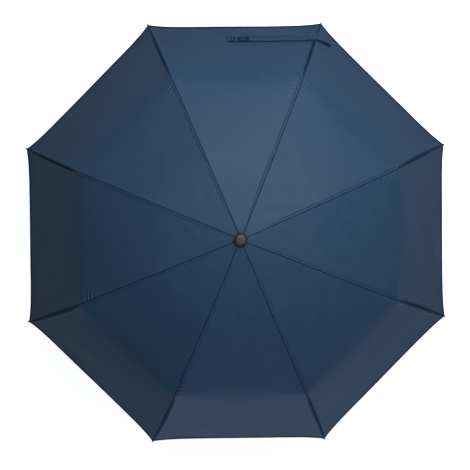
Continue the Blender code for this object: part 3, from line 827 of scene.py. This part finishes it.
def make_seam_strips(rib):
    """The three strips over a rib's seam, by the part of the rib that each reaches out to."""
    number = rib + 1
    all_rows = np.unique(np.concatenate([TOP_ROWS, MIDDLE_ROWS, OUTER_ROWS]))
    hub_rows = rows_between(all_rows, DISC_EDGE, TOP_MIDDLE)
    inner_rows = rows_between(all_rows, TOP_MIDDLE, MIDDLE_MIDDLE)
    outer_rows = rows_between(all_rows, MIDDLE_MIDDLE, HEM)
    return {
        "top": make_strip(f"canopy_seam_hub_{number}", rib, hub_rows),
        "middle": make_strip(f"canopy_seam_inner_{number}", rib, inner_rows),
        "outer": make_strip(f"canopy_seam_outer_{number}", rib, outer_rows,
                            hem=True),
    }


def make_canopy():
    """The disc under the cap, and for each rib its seam strips and the panels beside them."""
    disc = make_disc()
    flat_size(disc)[2]
    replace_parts(disc, "canopy")
    for rib in range(RIB_COUNT):
        strips = make_seam_strips(rib)
        for side, letter in ((-1, "a"), (1, "b")):
            for part, section, rows, band, keep in SECTIONS:
                body = f"{part}_rib_{rib + 1}"
                for ending, piece_rows, by_knee in banded(rows, band):
                    name = f"canopy_{part}{ending}_{rib + 1}{letter}"
                    panel = make_panel(name, rib, side, section, piece_rows, by_knee)
                    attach(panel, body)
                    declare_sheet(panel)


make_canopy()

# ---------------------------------------------------------------- the tie strap

STRAP_BODY = f"outer_rib_{STRAP_RIB + 1}"


def outer_share(share):
    """The place on the seam line at a share of the outer section."""
    return OUTER + share * (HEM - OUTER)


# Stations along the strap are shares of half the gore's width, from the seam.
STRAP_SPAN = half_width(outer_share(0.78))
# The strap's edges, as shares of the outer section.
STRAP_STATIONS = (0.02, 0.05, 0.12, 0.24, 0.36, 0.45, 1.08)
STRAP_LOW = (0.660, 0.664, 0.670, 0.672, 0.672, 0.672, 0.672)
STRAP_HIGH = (0.680, 0.697, 0.762, 0.768, 0.768, 0.768, 0.768)
STRAP_LIFT = 0.0005
# The stations of the fastener's stitched square, and of the two bar tacks at the strap's end.
PATCH, BAR_TACKS = (0.830, 0.949), (1.0, 1.035)
# The ends of the diagonal fold: (station, share of the strap's width).
FOLD_FROM, FOLD_TO = (0.06, 0.0), (0.31, 1.0)
# Heights of the folded-over layer, of the stitches' dents, of the pleats and of slow waves.
FLAP_LIFT, STITCH_PRESS, STRAP_PLEATS, STRAP_WAVES = 0.0009, 0.0004, 0.0006, 0.00045
# Across the strap: (share of its width, height above its underside).
STRAP_SECTION = [
    (0.00, 0.0002), (0.00, 0.0007), (0.025, 0.0011), (0.07, 0.0012), (0.12, 0.0010),
    (0.22, 0.0011), (0.36, 0.0012), (0.50, 0.0012), (0.64, 0.0012), (0.78, 0.0011),
    (0.88, 0.0010), (0.93, 0.0012), (0.975, 0.0011), (1.00, 0.0007), (1.00, 0.0002),
]
# The tail on the seam's other side: its start and its length across the gore, in metres.
TAIL_START, TAIL_LENGTH = -0.0055, 0.0445
# In shares of the outer section: its middle line's start and drop, and the power of its bend,
# then half its width at the seam, what that grows by, and what its cut end loses.
TAIL_FROM, TAIL_DROP, TAIL_BEND = 0.642, 0.186, 0.75
TAIL_HALF, TAIL_GROWTH, TAIL_CUT = 0.009, 0.015, 0.010
# The tail's arch, and its darkness: painted shade over the whole tail.
TAIL_ARCH, TAIL_SHADE = 0.0006, 0.95


def band_on_cloth(name, rib, side, stations, low, high, shade, square=0.0):
    """A flat band on the outer panels: y stations, its edges as shares, and its darkness.

    square is 1 where the stations run straight out from the middle of the gore.
    """
    share, rise = np.array(STRAP_SECTION).T
    s = outer_share(low[:, None] + (high - low)[:, None] * share)
    y = np.repeat(stations[:, None], len(share), 1)
    lean = half_width(s) - half_width(outer_share(float(low[-1] + high[-1]) / 2))
    points, _, normal = cloth(rib, s, side * (y + np.reshape(square, (-1, 1)) * lean))
    dark, extra = shade(y, share)
    points = points + (STRAP_LIFT + rise + extra)[..., None] * normal
    along, across = np.gradient(points, axis=0), np.gradient(points, axis=1)
    normals = unit(np.cross(along, across))
    normals *= np.where((normals * normal).sum(-1, keepdims=True) < 0, -1, 1)
    uv = np.stack([y, s], axis=-1)
    band = sheet_object(name, points, normals, uv, np.clip(dark, 0, 1), STRAP_NAVY)
    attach(band, STRAP_BODY)
    tuple(panel_axis(rib, side, 3))
    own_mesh(band)
    return band


def strap_shade(y, share):
    """Darkness and height of the stitched edges, the square patch and the diagonal fold, with
    painted shade along the fold, among the gathers and on the inner edge.
    """
    station = y / STRAP_SPAN

    def across(place, width):
        return bell((station - place) * STRAP_SPAN, width)

    # The inner edge's line is stitching and a painted shadow of the strap; the outer line is
    # stitching.
    edges = bell(share - 0.02, 0.07) + 0.60 * bell(share - 0.94, 0.09)
    end = 0.8 * across(STRAP_STATIONS[-1], 0.0009)
    sides = sum(across(place, 0.0021) for place in PATCH)
    bar_tacks = sum(across(place, 0.0018) for place in BAR_TACKS)
    inside = window(station, PATCH[0] - 0.004, PATCH[0], PATCH[1], PATCH[1] + 0.004)
    rails = bell(share - 0.12, 0.06) + bell(share - 0.88, 0.08)
    patch = 0.95 * np.clip(sides + inside * (0.50 + rails), 0, 1) + 0.9 * bar_tacks
    past_fold = STRAP_SPAN * (station - FOLD_FROM[0] - share * (FOLD_TO[0] - FOLD_FROM[0]))
    # Painted shade along the diagonal fold.
    painted_fold_shade = 0.9 * bell(past_fold, 0.0022) * smoothstep(share, 0.0, 0.1)
    gathered = 1 - smoothstep(station, 0.03, 0.16)
    height = FLAP_LIFT * smoothstep(past_fold, -0.0012, 0.0004)
    height = height + STRAP_PLEATS * gathered * np.cos(5 * math.pi * share)
    height = height - STITCH_PRESS * np.clip(sides + inside * rails, 0, 1)
    height = height + STRAP_WAVES * np.sin(station * 17.0 + 1.1) * (1 - inside)
    # Half the gathers' weight is painted shade among the pleats by the seam.
    return edges + end + patch + painted_fold_shade + 0.5 * gathered, height


def tail_shade(y, share):
    """The tail is darkened all over with painted shade, and arched across."""
    return np.full_like(y, TAIL_SHADE), TAIL_ARCH * np.sin(math.pi * share)


def make_strap():
    """The strap that lies along the hem of one gore, and its short tail beyond the seam."""
    folded_end = 0.45
    stations = chained((STRAP_STATIONS[0], folded_end, 0.0068), (folded_end, PATCH[0], 0.02),
                       (PATCH[0], STRAP_STATIONS[-1], 0.0045))
    strap = band_on_cloth(
        "tie_strap_cloth", STRAP_RIB, 1, stations * STRAP_SPAN,
        np.interp(stations, STRAP_STATIONS, STRAP_LOW),
        np.interp(stations, STRAP_STATIONS, STRAP_HIGH), strap_shade,
        smoothstep(stations, 0.3, 0.8))
    run = np.linspace(0, 1, 22)
    middle = TAIL_FROM + TAIL_DROP * run ** TAIL_BEND
    half = (TAIL_HALF + TAIL_GROWTH * smoothstep(run, 0.10, 0.65)
            - TAIL_CUT * smoothstep(run, 0.93, 1.02))
    tail = band_on_cloth("tie_strap_tail", STRAP_RIB, -1, TAIL_START + TAIL_LENGTH * run,
                         middle - half, middle + half, tail_shade)
    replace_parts(strap, "tie_strap")
    declare_sheet(strap)


make_strap()

# ---------------------------------------------------------------- turned and small pieces

# How far the outer ribs' rods, which the tips sit on, lie above the hinge axes.
ROD_LIFT = 0.0022
GRIP_LOW, GRIP_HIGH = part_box("handle_grip")[0].z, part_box("handle_grip")[1].z
# Heights of the grip's grooves above its foot.
GRIP_GROOVES = (0.009, 0.0115, 0.014, 0.0435, 0.046, 0.0485)


def arc(centre, radius, start, end, steps):
    """Points (radius, height) on an arc. Angles in degrees, from outwards towards up."""
    return [
        (centre[0] + radius * math.cos(math.radians(angle)),
         centre[1] + radius * math.sin(math.radians(angle)))
        for angle in np.linspace(start, end, steps + 1)
    ]


def turned_piece(name, profile, look, body, matrix=Matrix(), segments=96):
    """The piece that a profile of (radius, height) points makes when it turns about Z."""
    shape = bmesh.new()
    points = [shape.verts.new((radius, 0, height)) for radius, height in profile]
    edges = [shape.edges.new(pair) for pair in zip(points, points[1:])]
    bmesh.ops.spin(shape, geom=points + edges, cent=(0, 0, 0), axis=(0, 0, 1),
                   angle=2 * math.pi, steps=segments, use_merge=True)
    bmesh.ops.remove_doubles(shape, verts=shape.verts, dist=1e-6)
    bmesh.ops.recalc_face_normals(shape, faces=shape.faces)
    mesh = bpy.data.meshes.new(name)
    shape.to_mesh(mesh)
    shape.free()
    mesh.transform(matrix)
    mesh.shade_smooth()
    mesh.set_sharp_from_angle(angle=math.radians(50))
    mesh.materials.append(look)
    made = add_object(name, mesh)
    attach(made, body)
    return made


def make_cap():
    """A black ring with a rolled rim, and the taupe disc that is pressed into it."""
    at_crown = Matrix.Translation((0, 0, HUB[1]))
    foot, seat, rim_top = 0.0080, 0.0115, 0.0130
    skirt, well, rim_round, lip_round = 0.0128, 0.00985, 0.0022, 0.00035
    ring = [(0, foot), (skirt, foot)]
    ring += arc((CROWN_RADIUS - rim_round, rim_top - rim_round), rim_round, -20, 90, 14)
    ring += arc((well + lip_round, rim_top - lip_round), lip_round, 90, 180, 5)
    ring += [(well, seat), (0, seat)]
    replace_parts(turned_piece("cap_ring", ring, CAP_BLACK, SHAFT_BODY, at_crown),
                "top_cap")
    under, shoulder, peak, fall = 0.0116, 0.0123, 0.0132, 0.0006
    side, dome_edge = 0.0097, 0.0094
    disc = [(0, under), (side, under), (side, shoulder)]
    disc += [(radius, peak - fall * (radius / dome_edge) ** 2)
             for radius in np.linspace(dome_edge, 0, 9)]
    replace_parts(turned_piece("cap_disc", disc, INLAY, SHAFT_BODY, at_crown),
                "cap_inlay")


def make_grip():
    """The soft grip, with three shallow grooves at each end."""
    waist, belly, groove_width, groove_depth = 0.0146, 0.0014, 0.0005, 0.0004
    side_low, side_high = 0.0007, GRIP_HIGH - GRIP_LOW - 0.0038
    swell = []
    for rise in np.linspace(side_low, side_high, 90):
        grooves = sum(bell(rise - place, groove_width) for place in GRIP_GROOVES)
        radius = waist + belly * math.sin(math.pi * (rise - side_low) / (side_high - side_low))
        swell.append((radius - groove_depth * grooves, GRIP_LOW + rise))
    bore, bore_floor, shoulder = 0.0038, GRIP_HIGH - 0.041, 0.0022
    profile = [(0, GRIP_LOW), (0.0135, GRIP_LOW), (0.0143, GRIP_LOW + 0.0003)] + swell
    profile += arc((0.0120, GRIP_HIGH - shoulder), shoulder, 35, 90, 6)
    profile += [(bore, GRIP_HIGH), (bore, bore_floor), (0, bore_floor)]
    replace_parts(turned_piece("soft_grip", profile, SOFT_BLACK, "handle"),
                "handle_grip")


def make_rib_tips():
    """A socket over the end of each outer rib, with a waist and a round nose."""
    low, nose, ball = OUTER_RIB_LENGTH - 0.010, OUTER_RIB_LENGTH + 0.0035, 0.0019
    bore, mouth, collar, waist = 0.00125, 0.0017, 0.0019, 0.0013
    profile = [(0, low + 0.003), (bore, low + 0.003), (bore, low), (mouth, low)]
    profile += [(collar, low + 0.0003), (collar, low + 0.0022), (waist + 0.0001, low + 0.0040)]
    profile += [(waist, nose - 0.0036)] + arc((0, nose - ball), ball, -45, 90, 10)
    socket = Matrix.Translation((0, 0, ROD_LIFT)) @ Matrix.Rotation(math.pi / 2, 4, "Y")
    for rib, azimuth in enumerate(RIB_AZIMUTHS):
        at_knee = (Matrix.Rotation(azimuth, 4, "Z")
                   @ Matrix.Translation((OUTER_KNEE[0], 0, OUTER_KNEE[1]))
                   @ Matrix.Rotation(OUTER_DROOP, 4, "Y"))
        tip = turned_piece(f"tip_{rib + 1}", profile, CAP_BLACK, f"outer_rib_{rib + 1}",
                           at_knee @ socket, 24)
        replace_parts(tip, f"rib_tip_{rib + 1}")


def make_runner_wire():
    """The wire ring in the runner's groove that the stretchers hang on."""
    wire_radius = 0.0005
    ring = arc((HUB[0], GROOVE_Z), wire_radius, 0, 360, 12)
    turned_piece("runner_wire", ring, STEEL, "runner")


def stitch_line(curve, points):
    """Adds one straight-sided thread through the points to a curve."""
    thread = curve.splines.new("POLY")
    thread.points.add(len(points) - 1)
    for place, point in zip(thread.points, points):
        place.co = (*point, 1)


def make_tacks():
    """Two short stitches of thread over each seam, which tie it to the top rib."""
    thread_radius, apart, reach, lift = 0.00028, 0.0007, 0.0022, 0.0002
    for rib in range(RIB_COUNT):
        curve = bpy.data.curves.new("tack", "CURVE")
        curve.dimensions = "3D"
        curve.bevel_depth = thread_radius
        curve.bevel_resolution = 2
        curve.use_fill_caps = True
        for step in (-apart, apart):
            points, _, normal = cloth(rib, TACK + step, np.linspace(-reach, reach, 7))
            stitch_line(curve, points + lift * normal)
        drawn = add_object("tack", curve)
        graph = bpy.context.evaluated_depsgraph_get()
        mesh = bpy.data.meshes.new_from_object(drawn.evaluated_get(graph))
        bpy.data.objects.remove(drawn)
        mesh.materials.clear()
        mesh.materials.append(THREAD)
        mesh.shade_smooth()
        tack = add_object(f"seam_tack_{rib + 1}", mesh)
        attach(tack, f"top_rib_{rib + 1}")


make_cap()
make_grip()
make_rib_tips()
make_runner_wire()
make_tacks()

# ---------------------------------------------------------------- stage, light and camera

# The floor's flat part, the radius of its upturned rim, and its number of sides.
FLOOR_REACH, FLOOR_RIM, FLOOR_SIDES = 40.0, 4.0, 48
WHITE, LOW_BLUE = (1, 1, 1), (0.62, 0.78, 1.0)
# The height that the lights and the camera are aimed at.
CANOPY_MIDDLE = 0.42
SURROUND = 0.03
LIGHTS = (
    # name, azimuth, elevation, distance, width, watts, colour
    ("key", 70, 53, 1.15, 0.7, 18.5, WHITE),
    ("side_key", 40, 62, 1.3, 0.8, 7.2, WHITE),
    ("back_key", 130, 70, 1.6, 1.0, 6.2, WHITE),
    ("low_fill", -95, 6, 2.6, 1.0, 21, LOW_BLUE),
    ("low_side", -66, 7, 2.7, 1.1, 24, LOW_BLUE),
)
# The camera is almost straight above, and the picture's top is towards +Y, turned a little.
CAMERA_AIM, CAMERA_BACK = (-0.0079, 0.0031, CANOPY_MIDDLE), (-0.0384, 0.0638, 1)
CAMERA_TURN, CAMERA_DISTANCE = -0.0097, 6.0
SENSOR_WIDTH, FOCAL_PIXELS, FRAME_PIXELS = 36, 2850, 470
# Beyond the far side of the floor's rim.
CLIP_END = 200


def make_floor():
    """A pale floor under the handle, which curves up into a backdrop far away."""
    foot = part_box("handle_end_cap")[0].z
    turn = np.linspace(0, 2 * math.pi, FLOOR_SIDES, endpoint=False)
    sweep = np.linspace(0, math.pi / 2, 10)
    radii = np.append(0.001, FLOOR_REACH + FLOOR_RIM * np.sin(sweep))
    rises = np.append(0.0, FLOOR_RIM * (1 - np.cos(sweep)))
    points = np.stack([np.outer(radii, np.cos(turn)), np.outer(radii, np.sin(turn)),
                       np.outer(foot + rises, np.ones(FLOOR_SIDES))], axis=-1)
    faces = []
    for near in range(0, (len(radii) - 1) * FLOOR_SIDES, FLOOR_SIDES):
        far = near + FLOOR_SIDES
        for side in range(FLOOR_SIDES):
            after = (side + 1) % FLOOR_SIDES
            faces.append((near + side, near + after, far + after, far + side))
    mesh = bpy.data.meshes.new("floor")
    mesh.from_pydata(points.reshape(-1, 3).tolist(), [], faces)
    floor = add_object("floor", mesh)
    look = Look("pale_floor")
    look.set(Base_Color=(*grey(0.93), 1), Roughness=0.9, Specular_IOR_Level=0.1,
             Emission_Color=(*WHITE, 1), Emission_Strength=0.80)
    mesh.materials.append(look.material)


def area_light(name, azimuth, elevation, distance, size, power, colour):
    """A round soft box aimed at the canopy. Angles in degrees, azimuth from +X towards +Y."""
    a, e = math.radians(azimuth), math.radians(elevation)
    target = Vector((0, 0, CANOPY_MIDDLE))
    away = Vector((math.cos(a) * math.cos(e), math.sin(a) * math.cos(e), math.sin(e)))
    lamp = bpy.data.lights.new(name, "AREA")
    lamp.shape = "DISK"
    lamp.size = size
    lamp.energy = power
    lamp.color = colour
    made = add_object(name, lamp)
    made.location = target + away * distance
    made.rotation_euler = (-away).to_track_quat("-Z", "Y").to_euler()


def make_light():
    """A faint white surround and the soft boxes."""
    world = bpy.data.worlds.new("studio")
    world.use_nodes = True
    background = world.node_tree.nodes["Background"]
    background.inputs["Color"].default_value = (*WHITE, 1)
    background.inputs["Strength"].default_value = SURROUND
    bpy.context.scene.world = world
    for light in LIGHTS:
        area_light(*light)
    bpy.context.scene.view_settings.view_transform = "Standard"


def make_camera():
    """A long lens, almost straight above."""
    lens = bpy.data.cameras.new("camera")
    lens.sensor_width = SENSOR_WIDTH
    lens.lens = SENSOR_WIDTH * FOCAL_PIXELS / FRAME_PIXELS
    lens.clip_end = CLIP_END
    camera = add_object("camera", lens)
    back = Vector(CAMERA_BACK).normalized()
    camera.location = Vector(CAMERA_AIM) + back * CAMERA_DISTANCE
    right = Vector((0, 1, 0)).cross(back).normalized()
    up = back.cross(right)
    basis = Matrix((right, up, back)).transposed().to_4x4()
    camera.rotation_euler = (Matrix.Rotation(CAMERA_TURN, 4, back) @ basis).to_euler()
    bpy.context.scene.camera = camera


make_floor()
make_light()
make_camera()
